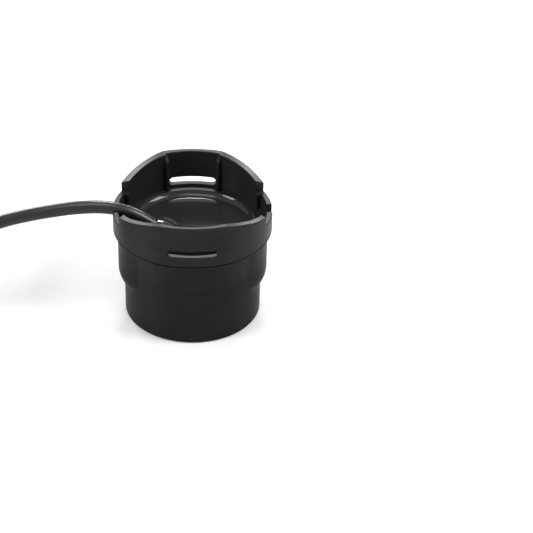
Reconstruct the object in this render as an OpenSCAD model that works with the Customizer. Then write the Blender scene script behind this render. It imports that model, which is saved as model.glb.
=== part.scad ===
// Sonar transducer for ice fishing: a moulded cup with a potted element, a cable and its plug.
// Millimetres. +Z is up, the front faces -Y, and the origin is the centre of the flat underside.

/* [Cup] */
// Radius of the lower body
body_r = 33.5; // [31:0.5:40]
// Height of the lower body, up to the collar's lower edge
body_h = 46.2; // [44:0.2:56]
// Radius of the rounded bottom edge
foot_edge = 1.4; // [0.6:0.2:2]
// How far the lower body widens from its seat up to the collar
body_draft = 0.3; // [0.2:0.05:0.5]
// Wall of the lower body
body_wall = 2.5; // [2:0.1:3]
// Thickness of the acoustic window under the element
window_t = 2.5; // [1.6:0.1:4]

/* [Collar] */
// How far the collar stands out past the lower body
collar_out = 5; // [4.5:0.1:7]
// Height of the collar, from its lower edge to the top of the rim
collar_h = 21.7; // [20:0.1:26]
// Wall of the collar at its front and low sides
collar_wall = 2.8; // [2.6:0.1:3.2]
// Wall of the high back, beside its middle stretch
high_wall = 4.8; // [4.2:0.1:5]
// Wall of the middle stretch of the high back, before the outside is flattened
middle_wall = 3.5; // [3.3:0.1:3.8]
// Radius of the collar's rounded lower edge
collar_edge = 0.5; // [0.3:0.1:1]
// Thickness of the step between the lower body and the collar
step_wall = 1.6; // [1.2:0.1:2.4]
// Half width of the level stretch at the top of the rim
rim_flat = 14.5; // [12:0.5:17]
// How far the rim's arc has come down where it reaches the low sides
rim_fall = 7.2; // [5:0.1:8.4]
// Height of the low side rims above the collar's lower edge
side_rim_up = 10.2; // [9.6:0.1:12]
// Half angle of each low side, seen from above
side_angle = 25; // [22:0.5:28]

/* [Flattened front and back] */
// Height of the groove just above the collar's lower edge
groove_h = 0.6; // [0.4:0.1:1]
// Depth of that groove
groove_d = 0.4; // [0.2:0.05:0.6]
// Radius of the flatter curve at the front and back of the collar
flat_curve = 50; // [46:1:60]
// How far the flatter curve is set in at its middle
flat_sink = 0.7; // [0.4:0.1:0.9]
// Half width of the raised panel
panel_half = 18.7; // [16:0.1:20]
// Height of the panel above the collar's lower edge
panel_up = 9.3; // [8:0.1:11]
// Depth of the panel below the collar's lower edge
panel_down = 16.9; // [12:0.1:20]
// Corner radius of the panel
panel_corner = 2.5; // [1:0.1:4]
// Relief of the panel below the collar's lower edge
panel_relief = 0.5; // [0.3:0.05:0.6]
// Relief of the panel on the collar
collar_relief = 0.2; // [0.1:0.05:0.25]

/* [Slots and notches] */
// Length of the strap slots
slot_len = 23.4; // [16:0.2:24]
// Height of the front strap slot
slot_h = 3.4; // [2.4:0.1:3.8]
// Height of the front slot's middle above the collar's lower edge
slot_up = 7.7; // [7:0.1:8.4]
// Height of the back strap slot
back_slot_h = 4.2; // [3:0.1:4.4]
// Height of the back slot's middle above the collar's lower edge
back_slot_up = 5.1; // [4.8:0.1:7]
// Gap between the cable and each side of its notch
notch_gap = 0.2; // [0.15:0.05:0.6]
// Height of the notch floor above the collar's lower edge
notch_up = 6.2; // [5.8:0.1:6.2]

/* [Ribs and lugs] */
// Width of the ribs inside the collar
rib_w = 1.6; // [1.2:0.1:2.4]
// How far the ribs stand in from the high wall
rib_in = 1.7; // [1:0.1:2]
// Angle of the ribs from the front and back middle
rib_angle = 22.5; // [20.5:0.5:26]
// Gap between the ribs' tops and the top of the rim
rib_top_gap = 1.1; // [0.8:0.1:3]
// How far the high back wall runs on below the low sides, and the width of the ribs in front of them
wall_end = 2.2; // [1.2:0.1:3]
// How far the side lugs stand out past the lower body
lug_out = 2.9; // [2:0.1:3.6]
// Radius of the side lugs seen from above, less than the body's, so that they fade into it
lug_plan_r = 27; // [25:0.5:29]
// Straight length of the side lugs
lug_straight = 21.6; // [16:0.2:23]
// Length over which the lugs curve in to the body
lug_run_in = 7.2; // [5:0.2:9]
// Gap between the lugs' lower ends and the seat for a float
seat_gap = 0.4; // [0.3:0.1:2]

/* [Potting] */
// Depth of the potting's level below the inner ledge
potting_down = 2.5; // [1.5:0.1:3]
// Rise of the potting where it wets the wall
meniscus = 2.3; // [0.6:0.1:2.4]
// Radius of the hollow curve of that rise
meniscus_r = 4; // [2.6:0.1:6]
// Bond gap between the potting and what it holds
bond = 0.05; // [0.02:0.01:0.1]

/* [Element] */
// Radius of the piezo disc
disc_r = 22; // [18:0.5:24]
// Thickness of the piezo disc
disc_t = 9; // [6:0.5:10]
// Width of the isolation ring round the disc
ring_w = 3.5; // [2:0.5:4]
// Thickness of the backing disc
backing_t = 5; // [3:0.5:6]
// Radius of the element leads
lead_r = 0.7; // [0.5:0.1:1]

/* [Circuit] */
// Length of the circuit board
board_l = 38; // [36:1:42]
// Width of the circuit board
board_w = 28; // [26:1:30]
// Thickness of the circuit board
board_t = 1.6; // [1:0.2:2]
// Gap between the backing disc and the circuit board
board_gap = 7.5; // [6:0.5:8]
// Outer radius of the transformer core
core_r = 9; // [8:0.2:9.6]
// Radial width of the transformer core
core_w = 3.6; // [3:0.2:4.4]
// Height of the transformer core
core_h = 6.4; // [5:0.2:7]
// Thickness of the winding round the core
winding_t = 1; // [0.6:0.1:1.2]

/* [Cable] */
// Diameter of the cable
cable_d = 6.5; // [6:0.1:6.8]
// Angle at which the cable rises out of the potting
cable_rise = 34; // [32:1:36]
// Length of cable jacket that the potting holds
stub_in = 15; // [12:1:17]
// Length of cable that stands out of the potting before the free run
stub_out = 5; // [5:0.5:6]
// Radius of the mound of potting at the cable
mound_r = 10; // [9:0.2:11]
// Height of that mound
mound_h = 4; // [3.6:0.1:4.4]
// Length of the crimped cable anchor
anchor_l = 7; // [4:1:8]
// Wall of the cable anchor
anchor_wall = 1.2; // [0.8:0.1:1.6]
// Radius of the insulated cores
wire_r = 0.8; // [0.6:0.1:0.9]
// Radius of the bare drain wire
drain_r = 0.4; // [0.3:0.05:0.5]

/* [Coil] */
// Radius of the coil at the middle of its turns
coil_r = 40; // [38:0.5:41]
// Turns that lie side by side
coil_wide = 4; // [3:1:4]
// Turns that lie on each other
coil_high = 6; // [5:1:6]
// Angle of the coil that the tie covers
tie_angle = 12; // [8:1:20]
// Thickness of the tie
tie_t = 1.2; // [0.8:0.1:1.6]
// Gap between the tie and the coil
tie_gap = 0.15; // [0.1:0.05:0.3]

/* [Plug] */
// Length of the plug's boot
boot_l = 18; // [14:1:22]
// Radius of the boot at the cable
boot_r = 4.6; // [4.2:0.1:5]
// Radius of the plug's grip
grip_r = 9.3; // [9.3:0.1:10]
// Length of the plug's grip
grip_l = 15; // [12:1:18]
// Radius of the journal that the locking ring turns on
journal_r = 6.5; // [6.3:0.1:6.8]
// Running gap between the ring and its journal
ring_gap = 0.08; // [0.04:0.01:0.1]
// End gap on each side of the locking ring
ring_end_gap = 0.3; // [0.2:0.05:0.5]
// Outer radius of the locking ring
ring_r = 9; // [8.4:0.1:9]
// Length of the locking ring
ring_l = 11; // [9:0.5:14]
// Thickness of the retaining clip
clip_t = 1; // [0.8:0.1:1.4]
// Depth of the clip's groove
clip_groove = 0.5; // [0.3:0.1:0.6]
// Radius of the plug's nose
nose_r = 6; // [5.8:0.05:6.2]
// Length of the nose, ahead of the retaining clip
nose_l = 11; // [10.6:0.2:13]
// Section radius of the seal ring
seal_r = 0.7; // [0.5:0.05:0.75]
// Part of the seal that stands out of its groove
seal_proud = 0.25; // [0.15:0.05:0.4]
// Radius of the socket in the nose
socket_r = 4; // [3.6:0.05:4.1]
// Depth of the socket in front of the insert
socket_depth = 7; // [6:0.5:7]
// Thickness of the contact insert
insert_t = 3.5; // [3:0.5:4]
// Radius of the contact pins
contact_r = 0.5; // [0.4:0.05:0.6]
// Length of the contact pins in front of the insert
contact_l = 5; // [3:0.5:6]
// Radius of the circle that the pins stand on
contact_circle = 2.2; // [1.8:0.1:2.5]

/* [Hidden] */
$fn = 96;

// How far cutting shapes run past what they cut
past = 1;
far = 80;

// Levels and radii of the cup
height = body_h + collar_h;
collar_r = body_r + collar_out;
bore_r = body_r - body_wall;
collar_in_r = collar_r - collar_wall;
high_in_r = collar_r - high_wall;
middle_in_r = collar_r - middle_wall;
ledge_z = body_h + step_wall;
flat_offset = flat_curve - (collar_r - flat_sink);

// The rim's arc runs through the end of the level stretch and the top of the low side
side_x = collar_r * cos(side_angle);
side_z = height - rim_fall;
rim_centre = (side_x * side_x + side_z * side_z - rim_flat * rim_flat - height * height)
    / (2 * (side_z - height));
rim_arc = norm([rim_flat, height - rim_centre]);
side_rim_z = body_h + side_rim_up;
notch_w = cable_d + 2 * notch_gap;
notch_z = body_h + notch_up;
slot_z = body_h + slot_up;
back_slot_z = body_h + back_slot_up;
rib_top = height - rib_top_gap;
wall_end_angle = side_angle - asin(wall_end / collar_in_r);
lug_curve = (lug_out * lug_out + lug_run_in * lug_run_in) / (2 * lug_out);
// The seat for a float is a true cylinder that ends below the lugs
seat_h = body_h - lug_straight - lug_run_in - seat_gap;

// Levels inside the potting
potting_z = ledge_z - potting_down;
disc_z = window_t + bond;
stack_r = disc_r + bond + ring_w;
backing_z = disc_z + disc_t + bond;
backing_top = backing_z + backing_t;
board_z = backing_top + board_gap;
board_top = board_z + board_t;
board_x = 2;
wrap = winding_t + bond;
core_x = board_x + board_l / 2 - core_r - wrap - 1;
lead_y = 8;
lead_x = 11;
wire_y = 1.5;
landing_x = board_x - board_l / 2 + 5;
landing_y = 5;

// Where the cable leaves the potting, and its direction there
cable_exit_x = -21;
cable_exit_up = 0.4;
cable_exit = [cable_exit_x, 0, ledge_z + cable_exit_up];
mound_x = cable_exit_x + 4.5;
cable_dir = [-cos(cable_rise), 0, sin(cable_rise)];
cable_up = [sin(cable_rise), 0, cos(cable_rise)];
stub_start = cable_exit - stub_in * cable_dir;
stub_end = cable_exit + stub_out * cable_dir;
cable_r = cable_d / 2;
cable_sides = 12;
wire_sides = 8;

// The coil lies flat on its tie, and the cable joins its outer top turn along a tangent
coil_w = coil_wide * cable_d;
coil_h = coil_high * cable_d;
coil_z = tie_t + tie_gap;
coil_top = coil_z + coil_h;
coil_x = -161;
coil_y = 14;
tie_turn = 45;

// Free run of the cable from the potting to the coil's top layer
run_points = concat([stub_end, stub_end + 2 * cable_dir], [
    [-31, 0, 54.2], [-36, 0, 55.8], [-41, 0, 56.6], [-46, 0, 56.9], [-51, 0, 56.7], [-57, 0, 56.2],
    [-62, 0, 55.5], [-70, 0, 54.1], [-78, 0, 52.5], [-86, 0, 50.4], [-92, 0, 48.6], [-99, -1.2, 46.3],
    [-107.6, -4.7, 43.4], [-115, -10.3, 40.7], [-120.4, -15.7, 38.8], [-125.8, -21.2, 37.2]]);

// The other end leaves the coil's innermost top turn and lies on the coil with its plug
plug_x = -205;
plug_y = 2;
plug_z = coil_top + grip_r + bond;
lead_points = [[-139.6, -7.4, 37.2], [-150, -18, 41.2], [-160, -26, 43.7], [-170, -29.5, 44.2],
    [-177, -30, 44.6], [-184.4, -29, 45.2], [-191, -26.2, 45.9], [-196.8, -21.8, 46.8], [-201.2, -16, 47.8],
    [-204, -9.4, 48.8], [plug_x, plug_y - 4, plug_z], [plug_x, plug_y, plug_z]];

// Stations along the plug, from the back of the boot
journal_y = boot_l + grip_l;
ring_y = journal_y + ring_end_gap;
clip_y = ring_y + ring_l + ring_end_gap;
nose_y = clip_y + clip_t;
tip_y = nose_y + nose_l;
seal_y = nose_y + 2 * seal_r;
insert_y = tip_y - socket_depth - insert_t;
seal_seat_r = nose_r + seal_proud - 2 * seal_r;
boot_grooves = 4;
groove_r = 0.9;
grip_flutes = 12;
flute_r = 1.2;
ring_flutes = 18;
contact_count = 4;
clip_gap_angle = 40;

/* Shapes that repeat */

// Half section of a disc whose lower outer edge is rounded
module round_edge_section(r, h, edge) {
    square([r - edge, h]);
    translate([0, edge]) square([r, h - edge]);
    translate([r - edge, edge]) circle(edge);
}

// Rectangle with round corners, from its lower left corner
module round_rect(w, h, r) {
    translate([r, 0]) square([w - 2 * r, h]);
    translate([0, r]) square([w, h - 2 * r]);
    for (x = [r, w - r], y = [r, h - r]) translate([x, y]) circle(r);
}

// Turns a drawing in X and Y into a front view, run through the part along Y
module through_front(depth) {
    rotate([90, 0, 0]) linear_extrude(depth, center = true) children();
}

// Round rod between two points
module rod(a, b, r) {
    v = b - a;
    translate(a) rotate([0, acos(v[2] / norm(v)), atan2(v[1], v[0])]) cylinder(h = norm(v), r = r);
}

// Direction of a route at one of its points
function unit(v) = v / norm(v);
function heading(p, i) = unit(p[min(i + 1, len(p) - 1)] - p[max(i - 1, 0)]);

// One ring of a swept tube, square to the route; across is a direction that the route never takes
function tube_ring(p, i, r, sides, across) =
    let (t = heading(p, i), side = unit(cross(across, t)), up = cross(t, side))
    [for (k = [0 : sides - 1]) p[i] + r * (cos(360 * k / sides) * side + sin(360 * k / sides) * up)];

// Closed tube along a route
module tube(p, r, sides, across) {
    rings = len(p);
    points = [for (i = [0 : rings - 1]) each tube_ring(p, i, r, sides, across)];
    walls = [for (i = [0 : rings - 2], k = [0 : sides - 1]) let (n = (k + 1) % sides)
        [i * sides + k, (i + 1) * sides + k, (i + 1) * sides + n, i * sides + n]];
    first = [for (k = [0 : sides - 1]) k];
    last = [for (k = [sides - 1 : -1 : 0]) (rings - 1) * sides + k];
    polyhedron(points, concat([first], walls, [last]));
}

// Thin wire between upright landings
module wire(p, r) {
    tube(p, r, wire_sides, [0, 1, 0]);
}

/* Housing */

// Outside of the cup before its rim is cut, grown by the relief of a panel
module cup_outside(grow) {
    rotate_extrude() round_edge_section(body_r + grow, seat_h, foot_edge);
    translate([0, 0, seat_h])
        cylinder(h = body_h - seat_h, r1 = body_r + grow, r2 = body_r + body_draft + grow);
    intersection() {
        translate([0, 0, body_h]) rotate_extrude() round_edge_section(collar_r + grow, collar_h, collar_edge);
        flattened_limit(grow);
    }
}

// The flatter curve at the front and back
module flattened_limit(grow) {
    intersection() {
        translate([0, flat_offset, 0]) cylinder(h = height + past, r = flat_curve + grow);
        translate([0, -flat_offset, 0]) cylinder(h = height + past, r = flat_curve + grow);
    }
}

// Raised panels at the front and back, which cross the collar's step, lower in relief on the collar
module panels() {
    split_z = body_h + collar_edge + groove_h / 2;
    for (part = [[panel_relief, split_z - far], [collar_relief, split_z]]) intersection() {
        cup_outside(part[0]);
        translate([-panel_half, 0, body_h - panel_down]) rotate([90, 0, 0])
            linear_extrude(far * 2, center = true)
                round_rect(2 * panel_half, panel_down + panel_up, panel_corner);
        translate([-far, -far, part[1]]) cube([2 * far, 2 * far, far]);
    }
}

// Groove round the outside, just above the collar's rounded lower edge
module edge_groove() {
    difference() {
        translate([-far, -far, body_h + collar_edge]) cube([2 * far, 2 * far, groove_h]);
        cup_outside(-groove_d);
    }
}

// Lugs under the collar at both sides, which fade out to the front and curve in at their lower ends
module side_lugs() {
    lug_x = body_r + lug_out - lug_plan_r;
    lug_z = body_h - lug_straight;
    for (side = [-1, 1]) translate([side * lug_x, 0, 0]) rotate_extrude() {
        translate([0, lug_z]) square([lug_plan_r, lug_straight + past / 4]);
        intersection() {
            translate([lug_plan_r - lug_curve, lug_z]) circle(lug_curve);
            translate([0, lug_z - lug_run_in - past]) square([lug_plan_r, lug_run_in + 2 * past]);
        }
    }
}

// Everything under the rim: a level top that falls away in an arc, and low sides
module rim_limit() {
    difference() {
        through_front(2 * far) intersection() {
            translate([0, rim_centre]) circle(rim_arc, $fn = 200);
            translate([-far, 0]) square([2 * far, height]);
        }
        for (turn = [0, 180]) rotate([0, 0, turn]) translate([0, 0, side_rim_z]) linear_extrude(collar_h)
            polygon(concat([[0, 0]], [for (a = [-side_angle, side_angle]) far * [cos(a), sin(a)]]));
    }
}

// Hollow of the cup, with a level ledge where it widens into the collar
module cup_hollow() {
    translate([0, 0, window_t]) cylinder(h = height, r = bore_r);
    translate([0, 0, ledge_z]) cylinder(h = height, r = collar_in_r);
}

// Wedge of a plan, to both sides of the back middle, or of the front middle when turned round
module wedge(half_angle, turn = 0) {
    rotate(turn) polygon(concat([[0, 0]], [for (a = [-half_angle, 0, half_angle]) far * [sin(a), cos(a)]]));
}

// Inner layer of the high back wall, thinner over its middle stretch, and ribs in front of the low sides
module high_walls() {
    front_start = 90 - side_angle + 0.5;
    translate([0, 0, ledge_z - past / 2]) linear_extrude(height) difference() {
        intersection() {
            circle(collar_in_r + past / 2);
            union() {
                wedge(90 - wall_end_angle);
                wedge(90 - wall_end_angle, 180);
            }
        }
        circle(high_in_r);
        wedge(front_start, 180);
        intersection() {
            circle(middle_in_r);
            wedge(rib_angle);
        }
    }
}

// Upright rib at each end of the middle stretch, with a bevelled top
module rib(angle) {
    rib_r = high_in_r - rib_in;
    foot = ledge_z - past / 2;
    rotate([0, 0, angle]) translate([0, rib_w / 2, 0]) rotate([90, 0, 0]) linear_extrude(rib_w)
        polygon([[rib_r, foot], [collar_in_r + past / 2, foot], [collar_in_r + past / 2, rib_top],
            [high_in_r + past / 2, rib_top], [rib_r, rib_top - rib_in - past / 2]]);
}

module all_ribs() {
    for (middle = [90, 270], side = [-1, 1]) rib(middle + side * rib_angle);
}

// Strap slot with round ends, cut out through the middle of one wall
module strap_slot(z, h, turn) {
    start = middle_in_r * cos(rib_angle) - past / 2;
    rotate([0, 0, turn]) translate([-slot_len / 2, -start, z - h / 2]) rotate([90, 0, 0])
        linear_extrude(far) {
            translate([h / 2, 0]) square([slot_len - h, h]);
            for (x = [h / 2, slot_len - h / 2]) translate([x, h / 2]) circle(h / 2);
        }
}

module cable_notches() {
    translate([-far, -notch_w / 2, notch_z]) cube([2 * far, notch_w, collar_h]);
}

module housing() {
    color("#222222") difference() {
        intersection() {
            union() {
                difference() {
                    union() {
                        cup_outside(0);
                        panels();
                        side_lugs();
                    }
                    cup_hollow();
                }
                high_walls();
                all_ribs();
            }
            rim_limit();
        }
        edge_groove();
        strap_slot(slot_z, slot_h, 0);
        strap_slot(back_slot_z, back_slot_h, 180);
        cable_notches();
    }
}

/* Potted pieces */

module piezo_disc() {
    color("#d8d2c0") translate([0, 0, disc_z]) cylinder(h = disc_t, r = disc_r);
}

module isolation_ring() {
    color("#8a6a45") translate([0, 0, disc_z]) difference() {
        cylinder(h = disc_t, r = stack_r);
        translate([0, 0, -past]) cylinder(h = disc_t + 2 * past, r = disc_r + bond);
    }
}

module backing_disc() {
    color("#8a6a45") difference() {
        translate([0, 0, backing_z]) cylinder(h = backing_t, r = stack_r);
        for (side = [-1, 1]) translate([lead_x, side * lead_y, backing_z - past])
            cylinder(h = backing_t + 2 * past, r = lead_r + bond);
    }
}

// Both leads stand on the element's upper electrode and end under the circuit board
function lead_route(side) = [[lead_x, side * lead_y, backing_z], [lead_x, side * lead_y, backing_top + 2],
    [lead_x - 2, side * (lead_y + 1), board_z - 2], [lead_x - 2, side * (lead_y + 1), board_z - bond]];

module live_lead() {
    color("#b03020") wire(lead_route(1), lead_r);
}

module return_lead() {
    color("#303030") wire(lead_route(-1), lead_r);
}

module circuit_board(gap = 0) {
    color("#1f5a35") translate([board_x - board_l / 2 - gap, -board_w / 2 - gap, board_z - gap])
        cube([board_l + 2 * gap, board_w + 2 * gap, board_t + 2 * gap]);
}

// Solid ring of the core's section, grown on all sides
module core_ring(grow) {
    translate([core_x, 0, board_top + bond + wrap]) rotate_extrude()
        translate([core_r - core_w - grow, -grow]) square([core_w + 2 * grow, core_h + 2 * grow]);
}

module transformer_core() {
    color("#3a3a3c") core_ring(0);
}

module transformer_winding() {
    color("#b4692c") difference() {
        core_ring(wrap);
        core_ring(bond);
    }
}

module cable_stub() {
    color("#1c1c1c") rod(stub_start, stub_end, cable_r);
}

// Solid sleeve round the held cable, near its end
module anchor_rod(r, longer) {
    middle = cable_exit - (stub_in - anchor_l / 2 - 1) * cable_dir;
    half = anchor_l / 2 + longer;
    rod(middle - half * cable_dir, middle + half * cable_dir, r);
}

module cable_anchor() {
    color("#9a9a9c") difference() {
        anchor_rod(cable_r + bond + anchor_wall, 0);
        anchor_rod(cable_r + bond, past);
    }
}

// The cores leave the end of the jacket and drop to the circuit board
function core_route(side) = let (start = stub_start + [0, side * wire_y, 0]) [start - bond * cable_dir,
    start - 2 * cable_dir, [landing_x, side * landing_y, board_top + 5],
    [landing_x, side * landing_y, board_top + bond]];

module live_core() {
    color("#c9c5bd") wire(core_route(1), wire_r);
}

module return_core() {
    color("#2a2a2a") wire(core_route(-1), wire_r);
}

function drain_route() = let (start = stub_start - cable_r / 2 * cable_up) [start - bond * cable_dir,
    start - 2 * cable_dir, [landing_x + 3, 0, board_top + 4], [landing_x + 3, 0, board_top + bond]];

module drain_wire() {
    color("#b9b9bb") wire(drain_route(), drain_r);
}

// Space that the potted pieces take up, with the bond gap round it
module potted_space() {
    translate([0, 0, window_t]) cylinder(h = backing_top + bond - window_t, r = stack_r + bond);
    circuit_board(bond);
    core_ring(wrap + bond);
    rod(stub_start - bond * cable_dir, stub_end + past * cable_dir, cable_r + bond);
    anchor_rod(cable_r + 2 * bond + anchor_wall, bond);
    for (side = [-1, 1]) {
        wire(lead_route(side), lead_r + bond);
        wire(core_route(side), wire_r + bond);
    }
    wire(drain_route(), drain_r + bond);
}

// Half section of the potting, which climbs the wall in a hollow curve
module potting_section() {
    edge_r = bore_r - bond;
    drop = meniscus_r - meniscus;
    curve_x = edge_r - sqrt(meniscus_r * meniscus_r - drop * drop);
    difference() {
        translate([0, window_t + bond]) square([edge_r, potting_z + meniscus_r - window_t - bond]);
        translate([curve_x, potting_z + meniscus_r]) circle(meniscus_r);
        translate([-past, potting_z]) square([curve_x + past, collar_h]);
    }
}

// Resin that fills the lower body and stands in a mound round the cable
module potting() {
    mound_ball = (mound_r * mound_r + mound_h * mound_h) / (2 * mound_h);
    color("#101012") difference() {
        union() {
            rotate_extrude() potting_section();
            intersection() {
                translate([mound_x, 0, potting_z + mound_h - mound_ball]) sphere(mound_ball);
                translate([-bore_r, -bore_r, potting_z - past]) cube([2 * bore_r, 2 * bore_r, collar_h]);
                translate([0, 0, window_t]) cylinder(h = height, r = bore_r - bond);
            }
        }
        potted_space();
    }
}

/* Cable and its coil */

module cable_run() {
    color("#1c1c1c") tube(run_points, cable_r, cable_sides, [0, 0, 1]);
}

module coil_section(gap) {
    translate([coil_r - coil_w / 2 - gap, coil_z - gap])
        round_rect(coil_w + 2 * gap, coil_h + 2 * gap, cable_r + gap);
}

module cable_coil() {
    color("#1c1c1c") translate([coil_x, coil_y, 0]) rotate_extrude() coil_section(0);
}

module cable_tie() {
    color("#141414") translate([coil_x, coil_y, 0]) rotate([0, 0, tie_turn - tie_angle / 2])
        rotate_extrude(angle = tie_angle) difference() {
            coil_section(tie_gap + tie_t);
            coil_section(tie_gap);
        }
}

module plug_lead() {
    color("#1c1c1c") tube(lead_points, cable_r, cable_sides, [0, 0, 1]);
}

/* Plug, drawn along its own axis and laid on the coil */

module at_plug() {
    translate([plug_x, plug_y, plug_z]) rotate([-90, 0, 0]) children();
}

module plug_boot() {
    boot_end_r = grip_r - 2;
    color("#1a1a1a") at_plug() difference() {
        cylinder(h = boot_l, r1 = boot_r, r2 = boot_end_r);
        for (i = [1 : boot_grooves]) {
            y = boot_l * i / (boot_grooves + 1);
            cone_r = boot_r + (boot_end_r - boot_r) * y / boot_l;
            translate([0, 0, y]) rotate_extrude()
                translate([cone_r + groove_r / 2, 0]) circle(groove_r, $fn = 24);
        }
    }
}

// Grip, journal, clip groove and nose in one moulding, with the socket in the nose
module plug_body() {
    color("#1a1a1a") at_plug() difference() {
        union() {
            translate([0, 0, boot_l]) cylinder(h = grip_l, r = grip_r);
            translate([0, 0, journal_y]) cylinder(h = nose_y - journal_y, r = journal_r);
            translate([0, 0, nose_y]) cylinder(h = nose_l, r = nose_r);
        }
        for (i = [1 : grip_flutes]) rotate([0, 0, 360 * (i + 0.5) / grip_flutes])
            translate([grip_r + flute_r / 2, 0, boot_l + 3]) cylinder(h = grip_l - 6, r = flute_r, $fn = 24);
        translate([0, 0, clip_y]) difference() {
            cylinder(h = clip_t, r = journal_r + past);
            cylinder(h = clip_t, r = journal_r - clip_groove);
        }
        translate([0, 0, seal_y - seal_r]) difference() {
            cylinder(h = 2 * seal_r, r = nose_r + past);
            cylinder(h = 2 * seal_r, r = seal_seat_r);
        }
        translate([0, 0, insert_y]) cylinder(h = socket_depth + insert_t + past, r = socket_r);
    }
}

module plug_insert() {
    color("#2b2b2e") at_plug() difference() {
        translate([0, 0, insert_y]) cylinder(h = insert_t, r = socket_r - bond);
        contact_places() translate([0, 0, insert_y - past])
            cylinder(h = insert_t + 2 * past, r = contact_r + bond);
    }
}

module contact_places() {
    for (i = [0 : contact_count - 1]) rotate([0, 0, 45 + 360 * i / contact_count])
        translate([contact_circle, 0, 0]) children();
}

module contact_pins() {
    color("#c9a24a") at_plug() contact_places() translate([0, 0, insert_y]) {
        cylinder(h = insert_t + contact_l - contact_r, r = contact_r);
        translate([0, 0, insert_t + contact_l - contact_r]) sphere(contact_r);
    }
}

module plug_seal() {
    color("#5a5a5c") at_plug() translate([0, 0, seal_y]) rotate_extrude()
        translate([seal_seat_r + seal_r, 0]) circle(seal_r - bond);
}

module retaining_clip() {
    color("#a8a8aa") at_plug() translate([0, 0, clip_y + bond]) rotate([0, 0, clip_gap_angle / 2])
        rotate_extrude(angle = 360 - clip_gap_angle)
            translate([journal_r - clip_groove + bond, 0]) square([2 * clip_groove, clip_t - 2 * bond]);
}

module locking_ring() {
    color("#262628") at_plug() translate([0, 0, ring_y]) difference() {
        cylinder(h = ring_l, r = ring_r);
        translate([0, 0, -past]) cylinder(h = ring_l + 2 * past, r = journal_r + ring_gap);
        for (i = [1 : ring_flutes]) rotate([0, 0, 360 * (i + 0.5) / ring_flutes])
            translate([ring_r + flute_r / 2, 0, 2]) cylinder(h = ring_l - 4, r = flute_r, $fn = 24);
    }
}

housing();
potting();
piezo_disc();
isolation_ring();
backing_disc();
live_lead();
return_lead();
circuit_board();
transformer_core();
transformer_winding();
cable_stub();
cable_anchor();
live_core();
return_core();
drain_wire();
cable_run();
cable_coil();
cable_tie();
plug_lead();
plug_boot();
plug_body();
plug_insert();
contact_pins();
plug_seal();
retaining_clip();
locking_ring();
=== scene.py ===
# %% [markdown]
# A sonar transducer for ice fishing, dressed for its portrait.
# The solids come from CAD as a fixed frame: every piece made here goes where the frame says.
# The lesson runs in the order of the work: camera, cable, stage, finishes, then one piece at a time.

# %% Load the frame
import math

import bmesh
import bpy
from mathutils import Matrix, Vector


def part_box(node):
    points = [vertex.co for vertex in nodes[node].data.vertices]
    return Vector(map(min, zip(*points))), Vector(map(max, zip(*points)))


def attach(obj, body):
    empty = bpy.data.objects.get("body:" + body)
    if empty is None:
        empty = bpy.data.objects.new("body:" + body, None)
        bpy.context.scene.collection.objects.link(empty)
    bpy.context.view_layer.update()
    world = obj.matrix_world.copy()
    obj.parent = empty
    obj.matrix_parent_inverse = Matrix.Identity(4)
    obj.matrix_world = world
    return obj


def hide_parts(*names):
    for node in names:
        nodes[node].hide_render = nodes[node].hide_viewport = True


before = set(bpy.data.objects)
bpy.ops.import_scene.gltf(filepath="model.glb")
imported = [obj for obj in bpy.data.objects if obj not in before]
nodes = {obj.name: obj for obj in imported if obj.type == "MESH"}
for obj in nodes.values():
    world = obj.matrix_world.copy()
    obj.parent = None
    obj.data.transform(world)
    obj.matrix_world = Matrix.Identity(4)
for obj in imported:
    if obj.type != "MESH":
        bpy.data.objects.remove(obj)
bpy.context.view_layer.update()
MM = 0.001
print("frame nodes:", len(nodes))

# %% [markdown]
# The fit to the photograph puts the camera about three quarters of a metre away, looking down by a
# little over a third of a right angle. The frame is square and the transducer stands left of the middle,
# so the camera is turned a little to the right of the transducer's axis. A turned camera, and not a
# shifted lens, keeps the other views centred. Looking down past the transducer's side would make it
# lean, so the camera is also rolled by the small angle that sets its axis upright again.

# %% Camera
EYE_DISTANCE = 758 * MM
EYE_ELEVATION = math.radians(35.11)
LOOK_DOWN = math.radians(33.653)
LOOK_RIGHT = math.radians(3.365)
ROLL = math.radians(1.847)
SENSOR = 36.0
FOCAL_PIXELS = 1508
FRAME_PIXELS = 533

camera_data = bpy.data.cameras.new("camera")
camera_data.sensor_width = SENSOR
camera_data.lens = SENSOR * FOCAL_PIXELS / FRAME_PIXELS
camera = bpy.data.objects.new("camera", camera_data)
camera.location = (0, -EYE_DISTANCE * math.cos(EYE_ELEVATION), EYE_DISTANCE * math.sin(EYE_ELEVATION))
aim = Matrix.Rotation(-LOOK_RIGHT, 3, "Z") @ Matrix.Rotation(math.pi / 2 - LOOK_DOWN, 3, "X")
camera.rotation_euler = (aim @ Matrix.Rotation(ROLL, 3, "Z")).to_euler()
bpy.context.collection.objects.link(camera)
bpy.context.scene.camera = camera
print("lens", round(camera_data.lens, 1), "mm")

# %% [markdown]
# The cable is six metres long and 6.5 mm thick. It rises out of the potting, lies in the left notch
# and falls away in a shallow arc. What the photograph does not show is put away as a neat coil with
# the plug lying on it. The free stretches repeat the route's points of the solids, and a loop winds
# the coil: four columns of six turns, down and up in turn, from the outermost column to the innermost.
# Each lap lies level and changes its place only in a short crossover, as a hand winds it.

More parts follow.
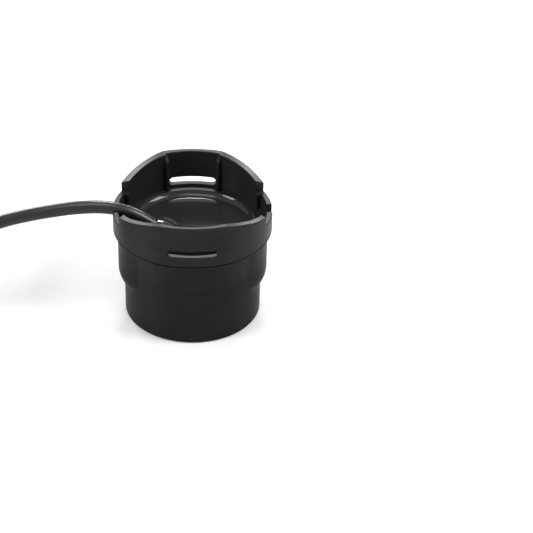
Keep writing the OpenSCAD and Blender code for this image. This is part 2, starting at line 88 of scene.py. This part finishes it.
# %% Cable route
CABLE_R = 3.25 * MM
CABLE_RISE = math.radians(34)
EXIT_STEPS = (-6, -3, 0, 3, 6)
cable_exit = Vector((-21, 0, 48.2)) * MM
cable_dir = Vector((-math.cos(CABLE_RISE), 0, math.sin(CABLE_RISE)))
run_points = [
    (-31, 0, 54.2), (-36, 0, 55.8), (-41, 0, 56.6), (-46, 0, 56.9), (-51, 0, 56.7), (-57, 0, 56.2),
    (-62, 0, 55.5), (-70, 0, 54.1), (-78, 0, 52.5), (-86, 0, 50.4), (-92, 0, 48.6), (-99, -1.2, 46.3),
    (-107.6, -4.7, 43.4), (-115, -10.3, 40.7), (-120.4, -15.7, 38.8)]
lead_points = [
    (-150, -18, 41.2), (-160, -26, 43.7), (-170, -29.5, 44.2), (-177, -30, 44.6), (-184.4, -29, 45.2),
    (-191, -26.2, 45.9), (-196.8, -21.8, 46.8), (-201.2, -16, 47.8), (-204, -9.4, 48.8), (-205, -2, 49.7),
    (-205, 2, 49.7), (-205, 6, 49.7)]

COIL_CENTRE = Vector((-161, 14, 0)) * MM
COIL_OUTER = 49.75 * MM
COIL_TOP = 37.1 * MM
COIL_COLUMNS = 4
COIL_ROWS = 6
START_ANGLE = math.radians(-45)
POINTS_IN_LAP = 30
CROSSOVER = 0.2


def coil_point(laps):
    """Centre of the cable after this many laps from where it joins the coil."""
    whole = math.floor(laps)
    into = max((laps - whole - (1 - CROSSOVER)) / CROSSOVER, 0)
    column, row = divmod(whole + into * into * (3 - 2 * into), COIL_ROWS)
    last_row = COIL_ROWS - 1
    shift = max(row - last_row, 0)
    down = min(row, last_row)
    if column % 2 == 1:
        down = last_row - down
    radius = COIL_OUTER - 2 * CABLE_R * (column + shift)
    angle = START_ANGLE - 2 * math.pi * laps
    height = COIL_TOP - 2 * CABLE_R * down
    return COIL_CENTRE + Vector((radius * math.cos(angle), radius * math.sin(angle), height))


coil_laps = COIL_COLUMNS * COIL_ROWS - 1
route = [cable_exit + cable_dir * d * MM for d in EXIT_STEPS]
route += [Vector(p) * MM for p in run_points]
route += [coil_point(step / POINTS_IN_LAP) for step in range(coil_laps * POINTS_IN_LAP + 1)]
route += [Vector(p) * MM for p in lead_points]
print("cable route points:", len(route))

# %% [markdown]
# A curve with a round bevel is the natural cable: its points are the route and its bevel the jacket.
# The bevel is one metre deep and each point carries the real radius, so the curve's own box stays true.

# %% Cable piece
cable_curve = bpy.data.curves.new("cable", "CURVE")
cable_curve.dimensions = "3D"
cable_curve.bevel_depth = 1.0
cable_curve.bevel_resolution = 6
cable_curve.resolution_u = 2
cable_curve.use_fill_caps = True
spline = cable_curve.splines.new("NURBS")
spline.points.add(len(route) - 1)
for point, place in zip(spline.points, route):
    point.co = (*place, 1)
    point.radius = CABLE_R
spline.order_u = 4
spline.use_endpoint_u = True
spline.use_smooth = True
cable = bpy.data.objects.new("cable", cable_curve)
bpy.context.collection.objects.link(cable)
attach(cable, "transducer")
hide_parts("cable_stub", "cable_run", "cable_coil", "plug_lead")
print("cable points:", len(spline.points))

# %% [markdown]
# The stage is one wide floor that turns white, as in a catalogue picture. Its own colour is pale, and for
# what the camera and reflections see it also glows a little, so that it reaches white without any more
# light on the object, and still keeps the object's shadow. Farther out the glow grows to full white, so
# that a low view sees no grey horizon.

# %% Stage
WHITE = (1, 1, 1, 1)
FLOOR_COLOUR = (0.83, 0.83, 0.83, 1)
FLOOR_HALF = 6.0
NEAR_FLOOR = 0.35
NEAR_GLOW = 0.15
FAR_FLOOR = 0.9
FAR_GLOW = 1.0


def seen_directly(tree):
    """One where the camera, a reflection or a clear material looks at the surface, and zero elsewhere."""
    path = tree.nodes.new("ShaderNodeLightPath")
    first = tree.nodes.new("ShaderNodeMath")
    first.operation = "MAXIMUM"
    second = tree.nodes.new("ShaderNodeMath")
    second.operation = "MAXIMUM"
    tree.links.new(path.outputs["Is Camera Ray"], first.inputs[0])
    tree.links.new(path.outputs["Is Glossy Ray"], first.inputs[1])
    tree.links.new(first.outputs[0], second.inputs[0])
    tree.links.new(path.outputs["Is Transmission Ray"], second.inputs[1])
    return second.outputs[0]


def map_range(tree, value, from_low, from_high, to_low, to_high):
    """Value carried from one range to another, and held at its ends."""
    node = tree.nodes.new("ShaderNodeMapRange")
    node.inputs["From Min"].default_value = from_low
    node.inputs["From Max"].default_value = from_high
    node.inputs["To Min"].default_value = to_low
    node.inputs["To Max"].default_value = to_high
    tree.links.new(value, node.inputs["Value"])
    return node.outputs["Result"]


def floor_material():
    """Pale floor with a glow for direct looks, which grows away from the object."""
    material = bpy.data.materials.new("white_sweep")
    material.use_nodes = True
    tree = material.node_tree
    tree.nodes.clear()
    output = tree.nodes.new("ShaderNodeOutputMaterial")
    mix = tree.nodes.new("ShaderNodeMixShader")
    diffuse = tree.nodes.new("ShaderNodeBsdfDiffuse")
    diffuse.inputs["Color"].default_value = FLOOR_COLOUR
    glow = tree.nodes.new("ShaderNodeEmission")
    glow.inputs["Color"].default_value = WHITE
    glow.inputs["Strength"].default_value = 1.0
    away = tree.nodes.new("ShaderNodeVectorMath")
    away.operation = "LENGTH"
    tree.links.new(tree.nodes.new("ShaderNodeTexCoord").outputs["Object"], away.inputs[0])
    share = tree.nodes.new("ShaderNodeMath")
    share.operation = "MULTIPLY"
    tree.links.new(seen_directly(tree), share.inputs[0])
    rise = map_range(tree, away.outputs["Value"], NEAR_FLOOR, FAR_FLOOR, NEAR_GLOW, FAR_GLOW)
    tree.links.new(rise, share.inputs[1])
    tree.links.new(share.outputs[0], mix.inputs["Fac"])
    tree.links.new(diffuse.outputs[0], mix.inputs[1])
    tree.links.new(glow.outputs[0], mix.inputs[2])
    tree.links.new(mix.outputs[0], output.inputs["Surface"])
    return material


floor_mesh = bpy.data.meshes.new("floor")
shape = bmesh.new()
bmesh.ops.create_grid(shape, x_segments=1, y_segments=1, size=FLOOR_HALF)
shape.to_mesh(floor_mesh)
shape.free()
floor = bpy.data.objects.new("floor", floor_mesh)
floor_mesh.materials.append(floor_material())
bpy.context.collection.objects.link(floor)
print("floor:", 2 * FLOOR_HALF, "m across")

# %% [markdown]
# A black object is shaped by what it mirrors. The world is full white to the camera and to reflections
# and dim to everything else, so that the lamps do the shaping. One hangs overhead, three narrow ones
# stand behind and draw the bright rim, and one at each side opens the shadows.

# %% World and lamps
WORLD_FILL = 0.22
CUP_MIDDLE = (0, 0, 0.05)
CUP_RIM = (0, 0, 0.06)

world = bpy.data.worlds.new("studio")
bpy.context.scene.world = world
world.use_nodes = True
tree = world.node_tree
background = tree.nodes["Background"]
background.inputs["Color"].default_value = WHITE
background.inputs["Strength"].default_value = 1.0
dim = tree.nodes.new("ShaderNodeBackground")
dim.inputs["Color"].default_value = WHITE
dim.inputs["Strength"].default_value = WORLD_FILL
choose = tree.nodes.new("ShaderNodeMixShader")
tree.links.new(seen_directly(tree), choose.inputs["Fac"])
tree.links.new(dim.outputs[0], choose.inputs[1])
tree.links.new(background.outputs[0], choose.inputs[2])
tree.links.new(choose.outputs[0], tree.nodes["World Output"].inputs["Surface"])


def softbox(name, place, target, width, depth, watts):
    """Rectangular soft lamp at a place, turned to face a point."""
    data = bpy.data.lights.new(name, "AREA")
    data.shape = "RECTANGLE"
    data.size = width
    data.size_y = depth
    data.energy = watts
    lamp = bpy.data.objects.new(name, data)
    lamp.location = place
    lamp.rotation_euler = (Vector(target) - Vector(place)).to_track_quat("-Z", "Y").to_euler()
    bpy.context.collection.objects.link(lamp)


softbox("overhead", (-0.1, -0.2, 1.15), CUP_MIDDLE, 0.7, 0.5, 5)
softbox("back_middle", (0.02, 0.93, 0.78), CUP_RIM, 0.3, 0.16, 7)
softbox("back_left", (-0.5, 1.1, 0.5), CUP_RIM, 0.3, 0.2, 6)
softbox("back_right", (0.5, 1.1, 0.5), CUP_RIM, 0.3, 0.2, 5)
softbox("left_key", (-1.1, -0.45, 0.6), CUP_MIDDLE, 0.5, 0.5, 11)
softbox("right_fill", (0.9, -0.2, 0.95), CUP_MIDDLE, 0.5, 0.5, 12)
view_settings = bpy.context.scene.view_settings
view_settings.view_transform = "Standard"
print("lamps:", len(bpy.data.lights))

# %% [markdown]
# What the eye sees on this object is black on black, so what tells its materials apart is gloss and
# grain. One function makes all the moulded and rubber finishes: a base that varies faintly, a roughness
# that varies more, and a fine bump. The patterns sit on Object coordinates, because each piece's own
# frame is the part's frame.

# %% Node helpers
PATTERN_LOW = 0.25
PATTERN_HIGH = 0.75


def new_material(name):
    """Material with its tree, its surface shader and a socket of Object coordinates."""
    material = bpy.data.materials.new(name + "_finish")
    material.use_nodes = True
    tree = material.node_tree
    place = tree.nodes.new("ShaderNodeTexCoord").outputs["Object"]
    return material, tree, tree.nodes["Principled BSDF"], place


def noise(tree, place, scale, detail=3):
    """Cloudy pattern between zero and one."""
    node = tree.nodes.new("ShaderNodeTexNoise")
    node.inputs["Scale"].default_value = scale
    node.inputs["Detail"].default_value = detail
    tree.links.new(place, node.inputs["Vector"])
    return node.outputs["Fac"]


def moved(tree, place, offset=(0, 0, 0), turn=(0, 0, 0), scale=(1, 1, 1)):
    """Coordinates shifted, turned and stretched for a pattern that has a centre or a direction."""
    node = tree.nodes.new("ShaderNodeMapping")
    node.inputs["Location"].default_value = offset
    node.inputs["Rotation"].default_value = turn
    node.inputs["Scale"].default_value = scale
    tree.links.new(place, node.inputs["Vector"])
    return node.outputs["Vector"]


def drive_range(tree, pattern, target, low, high):
    """Lets a pattern move a number socket between two values."""
    tree.links.new(map_range(tree, pattern, PATTERN_LOW, PATTERN_HIGH, low, high), target)


def along_axis(tree, place, axis, start, end, low, high):
    """Number that changes from one value to another between two places along an axis."""
    split = tree.nodes.new("ShaderNodeSeparateXYZ")
    tree.links.new(place, split.inputs[0])
    return map_range(tree, split.outputs[axis], start, end, low, high)


def drive_colour(tree, pattern, target, dark, light, start=0.3, end=0.7):
    """Lets a pattern move a colour socket between two colours."""
    node = tree.nodes.new("ShaderNodeValToRGB")
    node.color_ramp.elements[0].position = start
    node.color_ramp.elements[1].position = end
    node.color_ramp.elements[0].color = (*dark, 1)
    node.color_ramp.elements[1].color = (*light, 1)
    tree.links.new(pattern, node.inputs["Fac"])
    tree.links.new(node.outputs["Color"], target)


def drive_bump(tree, pattern, surface, strength, depth):
    """Lets a pattern raise the surface by a real depth."""
    node = tree.nodes.new("ShaderNodeBump")
    node.inputs["Strength"].default_value = strength
    node.inputs["Distance"].default_value = depth
    tree.links.new(pattern, node.inputs["Height"])
    tree.links.new(node.outputs["Normal"], surface.inputs["Normal"])


# %% Moulded, rubber and insulated finishes
GRAIN_DEPTH = 0.05 * MM


def moulded_finish(name, colour, roughness, spread, grain, bump, specular=0.5, patch=60, vary=0.12):
    """Moulded or rubbery finish: soft patches in colour and gloss, with a fine grain in the bump."""
    material, tree, surface, place = new_material(name)
    clouds = noise(tree, place, patch, 4)
    dark = [(1 - vary) * c for c in colour]
    light = [(1 + vary) * c for c in colour]
    drive_colour(tree, clouds, surface.inputs["Base Color"], dark, light)
    drive_range(tree, clouds, surface.inputs["Roughness"], roughness - spread, roughness + spread)
    drive_bump(tree, noise(tree, place, grain, 2), surface, bump, GRAIN_DEPTH)
    surface.inputs["Specular IOR Level"].default_value = specular
    return material


cable_jacket = moulded_finish("cable_jacket", (0.01, 0.01, 0.0105), 0.27, 0.05, 3000, 0.05, specular=0.35)
boot_rubber = moulded_finish("boot_rubber", (0.012, 0.012, 0.0125), 0.55, 0.06, 2500, 0.3, specular=0.3)
plug_plastic = moulded_finish("plug_plastic", (0.011, 0.011, 0.0115), 0.4, 0.05, 3500, 0.06, specular=0.3)
ring_plastic = moulded_finish("ring_plastic", (0.014, 0.014, 0.0145), 0.36, 0.05, 3500, 0.06, specular=0.3)
insert_plastic = moulded_finish("insert_plastic", (0.024, 0.024, 0.026), 0.45, 0.05, 3000, 0.3)
seal_rubber = moulded_finish("seal_rubber", (0.09, 0.09, 0.095), 0.6, 0.05, 2500, 0.25, specular=0.3)
wire_red = moulded_finish("wire_red", (0.42, 0.03, 0.02), 0.4, 0.05, 2500, 0.15)
wire_black = moulded_finish("wire_black", (0.022, 0.022, 0.023), 0.4, 0.05, 2500, 0.15)
wire_white = moulded_finish("wire_white", (0.58, 0.56, 0.52), 0.4, 0.05, 2500, 0.15, vary=0.05)
ferrite = moulded_finish("ferrite", (0.045, 0.045, 0.05), 0.55, 0.1, 1800, 0.5, patch=900, vary=0.3)
print("materials so far:", len(bpy.data.materials))

# %% [markdown]
# The housing and the resin are the two finishes that the portrait is made of, and each changes over the
# piece. The housing is satin on the collar and duller down the lower body. The resin is a dark mirror in
# the open cup. Behind the front wall it loses its gloss and its colour is darkened as painted shade, so the
# front slot looks into the dark. A coordinate along one axis, carried to a range of gloss, gives both.

# %% Housing and resin finishes
BODY_DULL_Z = 28 * MM
COLLAR_SATIN_Z = 50 * MM
BODY_GLOSS = 0.02
COLLAR_GLOSS = 0.08
RESIN_SHADED_Y = -20 * MM
RESIN_CLEAR_Y = -5 * MM
RESIN_GLOSS = 0.25
# The darker of the two resin colours below is painted shade, used behind the front wall; the lighter is the
# resin's colour in the open cup.
RESIN_PAINTED_SHADE = (0.006, 0.006, 0.0065)
RESIN_OPEN = (0.018, 0.018, 0.0185)
RESIN_ROUGHNESS = (0.04, 0.1)
RESIN_PATCHES = 60
RESIN_WAVES = 110
RESIN_BUMP = 0.12


def housing_finish():
    """Satin moulding, duller on the lower body than on the collar."""
    material = moulded_finish("housing_plastic", (0.016, 0.016, 0.0165), 0.36, 0.05, 3500, 0.05)
    tree = material.node_tree
    place = tree.nodes["Texture Coordinate"].outputs["Object"]
    gloss = along_axis(tree, place, "Z", BODY_DULL_Z, COLLAR_SATIN_Z, BODY_GLOSS, COLLAR_GLOSS)
    tree.links.new(gloss, tree.nodes["Principled BSDF"].inputs["Specular IOR Level"])
    return material


def resin_finish():
    """Cast resin: a clear gloss over slow waves, fading behind the front wall, where its colour is darkened
    as painted shade.
    """
    material, tree, surface, place = new_material("potting_resin")
    gloss = along_axis(tree, place, "Y", RESIN_SHADED_Y, RESIN_CLEAR_Y, 0.0, RESIN_GLOSS)
    tree.links.new(gloss, surface.inputs["Specular IOR Level"])
    # The same fade paints shade into the colour: the resin is darker behind the front wall, where the slot
    # looks in.
    drive_colour(tree, gloss, surface.inputs["Base Color"], RESIN_PAINTED_SHADE, RESIN_OPEN, 0.0, RESIN_GLOSS)
    drive_range(tree, noise(tree, place, RESIN_PATCHES, 4), surface.inputs["Roughness"], *RESIN_ROUGHNESS)
    drive_bump(tree, noise(tree, place, RESIN_WAVES, 2), surface, RESIN_BUMP, GRAIN_DEPTH)
    return material


housing_plastic = housing_finish()
potting_resin = resin_finish()
print("housing and resin:", housing_plastic.name, potting_resin.name)

# %% [markdown]
# The small metal pieces have finishes of their own, so that a cut-away or a closer look finds what the
# real part has: crimped and sprung metal, gold contacts and silvered ceramic. Colour, gloss and fine
# marks tell them apart, and the marks are drawn out where the metal was drawn or rolled.

# %% Metals
METAL_SHADE = 0.82
METAL_SMOOTHER = 0.08
METAL_ROUGHER = 0.1
METAL_BUMP = 0.4


def metal_finish(name, colour, roughness, stretch, scale, depth):
    """Bare metal with fine marks, drawn out by a stretch along each axis."""
    material, tree, surface, place = new_material(name)
    marks = noise(tree, moved(tree, place, scale=stretch), scale, 4)
    drive_colour(tree, marks, surface.inputs["Base Color"], [METAL_SHADE * c for c in colour], colour)
    drive_range(tree, marks, surface.inputs["Roughness"],
                roughness - METAL_SMOOTHER, roughness + METAL_ROUGHER)
    drive_bump(tree, marks, surface, METAL_BUMP, depth)
    surface.inputs["Metallic"].default_value = 1.0
    return material


anchor_metal = metal_finish("anchor_metal", (0.55, 0.55, 0.56), 0.38, (1, 4, 1), 900, 0.02 * MM)
drain_metal = metal_finish("drain_metal", (0.55, 0.55, 0.56), 0.32, (4, 4, 1), 1500, 0.02 * MM)
clip_steel = metal_finish("clip_steel", (0.45, 0.45, 0.46), 0.3, (1, 6, 1), 1500, 0.01 * MM)
contact_gold = metal_finish("contact_gold", (0.78, 0.55, 0.2), 0.22, (3, 1, 3), 1500, 0.004 * MM)
piezo_ceramic = metal_finish("piezo_ceramic", (0.72, 0.69, 0.6), 0.45, (1, 1, 1), 700, 0.01 * MM)
print("materials with the metals:", len(bpy.data.materials))

# %% [markdown]
# Four pieces need patterns of their own: cork is cells of many browns, the board has tracks under its
# green mask, the winding's turns lie side by side round a ring like spokes, and the strap is woven.
# Each pattern is one texture node that moves both the colour and the bump, so that they stay together.
# On the winding and the strap the colour is darker in the bump's hollows and lighter on its crests:
# painted shade and painted highlight.

# %% Cork, board, winding and strap
def cork_finish():
    """Pressed cork: rounded granules of many browns, with dark seams between them."""
    material, tree, surface, place = new_material("cork")
    cells = tree.nodes.new("ShaderNodeTexVoronoi")
    cells.inputs["Scale"].default_value = 550
    tree.links.new(place, cells.inputs["Vector"])
    shade = tree.nodes.new("ShaderNodeSeparateColor")
    tree.links.new(cells.outputs["Color"], shade.inputs["Color"])
    drive_colour(tree, shade.outputs["Red"], surface.inputs["Base Color"],
                 (0.16, 0.08, 0.03), (0.42, 0.26, 0.12), 0, 1)
    drive_bump(tree, cells.outputs["Distance"], surface, 0.6, -0.2 * MM)
    surface.inputs["Roughness"].default_value = 0.85
    return material


def board_finish():
    """Green solder mask over copper tracks, which show as paler raised bands."""
    material, tree, surface, place = new_material("board")
    tracks = tree.nodes.new("ShaderNodeTexBrick")
    tracks.inputs["Scale"].default_value = 130
    tracks.inputs["Mortar Size"].default_value = 0.06
    tracks.inputs["Color1"].default_value = (0.016, 0.11, 0.045, 1)
    tracks.inputs["Color2"].default_value = (0.014, 0.095, 0.04, 1)
    tracks.inputs["Mortar"].default_value = (0.035, 0.19, 0.08, 1)
    tree.links.new(place, tracks.inputs["Vector"])
    tree.links.new(tracks.outputs["Color"], surface.inputs["Base Color"])
    drive_range(tree, noise(tree, place, 400), surface.inputs["Roughness"], 0.25, 0.4)
    drive_bump(tree, tracks.outputs["Fac"], surface, 0.5, 0.04 * MM)
    return material


def winding_finish(centre, turns):
    """Enamelled copper wire, its turns laid round the ring core like spokes, with painted shade between the
    turns and a painted highlight on their crests.
    """
    material, tree, surface, place = new_material("winding")
    spokes = tree.nodes.new("ShaderNodeTexGradient")
    spokes.gradient_type = "RADIAL"
    tree.links.new(moved(tree, place, offset=[-c for c in centre]), spokes.inputs["Vector"])
    wave = tree.nodes.new("ShaderNodeMath")
    wave.operation = "PINGPONG"
    wave.inputs[1].default_value = 0.5 / turns
    tree.links.new(spokes.outputs["Fac"], wave.inputs[0])
    level = tree.nodes.new("ShaderNodeMath")
    level.operation = "MULTIPLY"
    level.inputs[1].default_value = 2 * turns
    tree.links.new(wave.outputs[0], level.inputs[0])
    # The copper is darker in the hollows between turns and lighter on their crests: painted shade and painted
    # highlight that follow the bump.
    drive_colour(tree, level.outputs[0], surface.inputs["Base Color"],
                 (0.16, 0.05, 0.015), (0.62, 0.26, 0.09), 0, 0.7)
    drive_bump(tree, level.outputs[0], surface, 0.8, 0.3 * MM)
    surface.inputs["Metallic"].default_value = 0.8
    surface.inputs["Roughness"].default_value = 0.3
    return material


def strap_finish():
    """Hook-and-loop strap: a close weave of threads with a faint fuzz, darker in the weave's hollows and
    lighter on its ridges as painted shade and painted highlight.
    """
    material, tree, surface, place = new_material("tie_fabric")
    threads = tree.nodes.new("ShaderNodeTexWave")
    threads.inputs["Scale"].default_value = 420
    threads.inputs["Distortion"].default_value = 1.5
    threads.inputs["Detail"].default_value = 2
    threads.inputs["Detail Scale"].default_value = 4
    tree.links.new(moved(tree, place, turn=(0, 0, math.radians(45))), threads.inputs["Vector"])
    # The weave is darker in its hollows and lighter on its ridges: painted shade and painted highlight that
    # follow the bump.
    drive_colour(tree, threads.outputs["Fac"], surface.inputs["Base Color"],
                 (0.007, 0.007, 0.008), (0.024, 0.024, 0.026))
    drive_bump(tree, threads.outputs["Fac"], surface, 0.8, 0.25 * MM)
    surface.inputs["Roughness"].default_value = 0.9
    surface.inputs["Sheen Weight"].default_value = 0.3
    return material


WINDING_TURNS = 48
core_low, core_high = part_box("transformer_core")
core_centre = [(a + b) / 2 for a, b in zip(core_low, core_high)]
cork = cork_finish()
board = board_finish()
winding = winding_finish(core_centre, WINDING_TURNS)
tie_fabric = strap_finish()
cable_curve.materials.append(cable_jacket)
print("materials in all:", len(bpy.data.materials))

# %% [markdown]
# The housing is one moulding, and its solid already has every form. What CAD leaves sharp, a mould
# leaves slightly round, and those round edges are what catches the light. So a piece's mesh is copied,
# its loose triangles merged, flat and curved faces made whole, and its sharp edges bevelled.
# Shading stays sharp only where faces meet at more than a small angle.

# %% Copies of the solids
MERGE_GAP = 0.002 * MM
FLAT_ANGLE = math.radians(0.6)
EDGE_ANGLE = math.radians(28)
SHADE_ANGLE = math.radians(14)


def edge_middle(edge):
    """Middle of an edge, in millimetres."""
    return (edge.verts[0].co + edge.verts[1].co) / 2 / MM


def round_edges(shape, width, wanted=None, segments=3, clamp=False):
    """Bevels the sharp edges of a shape, or those of them that a test picks by place."""
    sharp = [e for e in shape.edges if len(e.link_faces) == 2 and e.calc_face_angle() > EDGE_ANGLE]
    chosen = [e for e in sharp if wanted is None or wanted(e, edge_middle(e))]
    bmesh.ops.bevel(shape, geom=chosen, offset=width, offset_type="OFFSET", affect="EDGES", segments=segments,
                    profile=0.5, material=-1, clamp_overlap=clamp)
    return len(chosen)


def moulded_copy(name, node, body, material, rounding):
    """Copy of a CAD node, rounded by a function where one is given, standing for that node."""
    mesh = nodes[node].data.copy()
    mesh.name = name
    shape = bmesh.new()
    shape.from_mesh(mesh)
    bmesh.ops.remove_doubles(shape, verts=shape.verts, dist=MERGE_GAP)
    bmesh.ops.dissolve_degenerate(shape, edges=shape.edges, dist=MERGE_GAP)
    bmesh.ops.dissolve_limit(shape, angle_limit=FLAT_ANGLE, verts=shape.verts, edges=shape.edges)
    rounded = rounding(shape) if rounding else 0
    for face in shape.faces:
        face.smooth = True
    shape.to_mesh(mesh)
    shape.free()
    mesh.set_sharp_from_angle(angle=SHADE_ANGLE)
    mesh.materials.clear()
    mesh.materials.append(material)
    piece = bpy.data.objects.new(name, mesh)
    even = piece.modifiers.new("even_shading", "WEIGHTED_NORMAL")
    even.keep_sharp = True
    bpy.context.collection.objects.link(piece)
    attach(piece, body)
    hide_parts(node)
    print(name, "faces:", len(mesh.polygons), "rounded edges:", rounded)
    return piece


# %% [markdown]
# One bevel for the whole housing would be held back everywhere by its finest edge, so the housing is
# rounded region by region, each by a width that has room: the front slot's lower lip, the back slot, the
# outlines of the panels, and the walls with their rim, ribs and notches. Tests by place, in millimetres,
# pick the edges. The front slot's other edges, the groove round the collar's foot and the lugs' ends
# stay sharp.
# The resin is copied only to shade it smoothly: its level is a mirror, and shows any facet.

# %% Housing and resin
FRONT_SLOT_Z = (52.0, 55.8)
BACK_SLOT_Z = (49.0, 53.6)
SLOT_HALF = 11.9
SLOT_WALL_Y = 30
FRONT_SLOT_MIDDLE_Z = 54
FRONT_OUTSIDE_R = 36.3
FRONT_INSIDE_R = 35.5
FRONT_INSIDE_Y = -20
BODY_OUTSIDE_R = 33.2
PANEL_HALF = (15.9, 19.2)
PANEL_Z = (28, 56)
PANEL_FOOT_Z = 32
PANEL_HEAD_Z = 55
GROOVE_Z = (46.1, 47.45)
RIM_Z = 67.5
RIM_GAP = 0.2 * MM
LIP_ROUND = 0.7 * MM
SMALL_ROUND = 0.3 * MM
WALL_ROUND = 0.45 * MM


def at_slot(p):
    """The mouths of the strap slots."""
    low, high = FRONT_SLOT_Z if p.y < 0 else BACK_SLOT_Z
    return abs(p.x) < SLOT_HALF and abs(p.y) > SLOT_WALL_Y and low < p.z < high


def front_lip(edge, p):
    """Lower lip of the front slot, on the outside."""
    return at_slot(p) and p.y < 0 and p.z < FRONT_SLOT_MIDDLE_Z and math.hypot(p.x, p.y) > FRONT_OUTSIDE_R


def back_mouth(edge, p):
    """Both mouths of the back slot."""
    return at_slot(p) and p.y > 0


def at_panel(p):
    """Outlines of the raised panels: their sides, their feet and their heads."""
    side, reach = PANEL_HALF
    low, high = PANEL_Z
    within = math.hypot(p.x, p.y) > BODY_OUTSIDE_R and abs(p.x) < reach and low < p.z < high
    return within and (abs(p.x) > side or p.z < PANEL_FOOT_Z or p.z > PANEL_HEAD_Z)


def lower_panel(edge, p):
    """Outward outlines of the panels below the groove."""
    return at_panel(p) and edge.is_convex and p.z < GROOVE_Z[0]


def at_wall(edge, p):
    """Outward edges of the collar's walls, rim, ribs, notches and ledge, above the groove."""
    front_inside = p.y < FRONT_INSIDE_Y and math.hypot(p.x, p.y) < FRONT_INSIDE_R and p.z < RIM_Z
    return edge.is_convex and p.z > GROOVE_Z[1] and not (at_slot(p) or at_panel(p) or front_inside)


def round_housing(shape):
    """Rounds the housing region by region, after merging the finest steps of its rim."""
    rim = [v for v in shape.verts if v.co.z > RIM_Z * MM]
    bmesh.ops.remove_doubles(shape, verts=rim, dist=RIM_GAP)
    count = round_edges(shape, LIP_ROUND, front_lip, segments=4)
    count += round_edges(shape, SMALL_ROUND, back_mouth)
    count += round_edges(shape, SMALL_ROUND, lower_panel)
    count += round_edges(shape, WALL_ROUND, at_wall)
    return count


moulded_copy("housing_shell", "housing", "transducer", housing_plastic, round_housing)
moulded_copy("resin_fill", "potting", "transducer", potting_resin, None)

# %% [markdown]
# The plug and the strap round the coil get the same treatment with smaller edges, because they are
# smaller mouldings. The locking ring is the one piece on a body of its own: it turns about the plug's axis.
# The pieces that go with the cord's far end are listed here, and not beside the cable.

# %% Plug and strap
def small_rounding(width):
    """Rounding of every sharp edge by one small width, kept within the room that there is."""
    return lambda shape: round_edges(shape, width, clamp=True)


on_cord = [
    moulded_copy("strap", "cable_tie", "transducer", tie_fabric, small_rounding(0.25 * MM)),
    moulded_copy("strain_boot", "plug_boot", "transducer", boot_rubber, small_rounding(0.15 * MM)),
    moulded_copy("plug_shell", "plug_body", "transducer", plug_plastic, small_rounding(0.22 * MM)),
    moulded_copy("pin_insert", "plug_insert", "transducer", insert_plastic, small_rounding(0.1 * MM)),
    moulded_copy("contacts", "contact_pins", "transducer", contact_gold, None),
    moulded_copy("nose_seal", "plug_seal", "transducer", seal_rubber, None),
    moulded_copy("snap_ring", "retaining_clip", "transducer", clip_steel, small_rounding(0.06 * MM)),
    moulded_copy("turning_ring", "locking_ring", "locking_ring", ring_plastic, small_rounding(0.22 * MM))]
print("pieces that go with the cord:", len(on_cord))

# %% [markdown]
# The pieces inside the resin keep their solids, because nothing shows of them until the part is cut open.
# Each gets its finish on the solid's own mesh.

# %% Sealed pieces
sealed_finishes = {
    "piezo_disc": piezo_ceramic, "isolation_ring": cork, "backing_disc": cork, "live_lead": wire_red,
    "return_lead": wire_black, "circuit_board": board, "transformer_core": ferrite,
    "transformer_winding": winding, "cable_anchor": anchor_metal, "live_core": wire_white,
    "return_core": wire_black, "drain_wire": drain_metal}
for name, material in sealed_finishes.items():
    nodes[name].data.materials.clear()
    nodes[name].data.materials.append(material)
print("sealed pieces:", len(sealed_finishes))
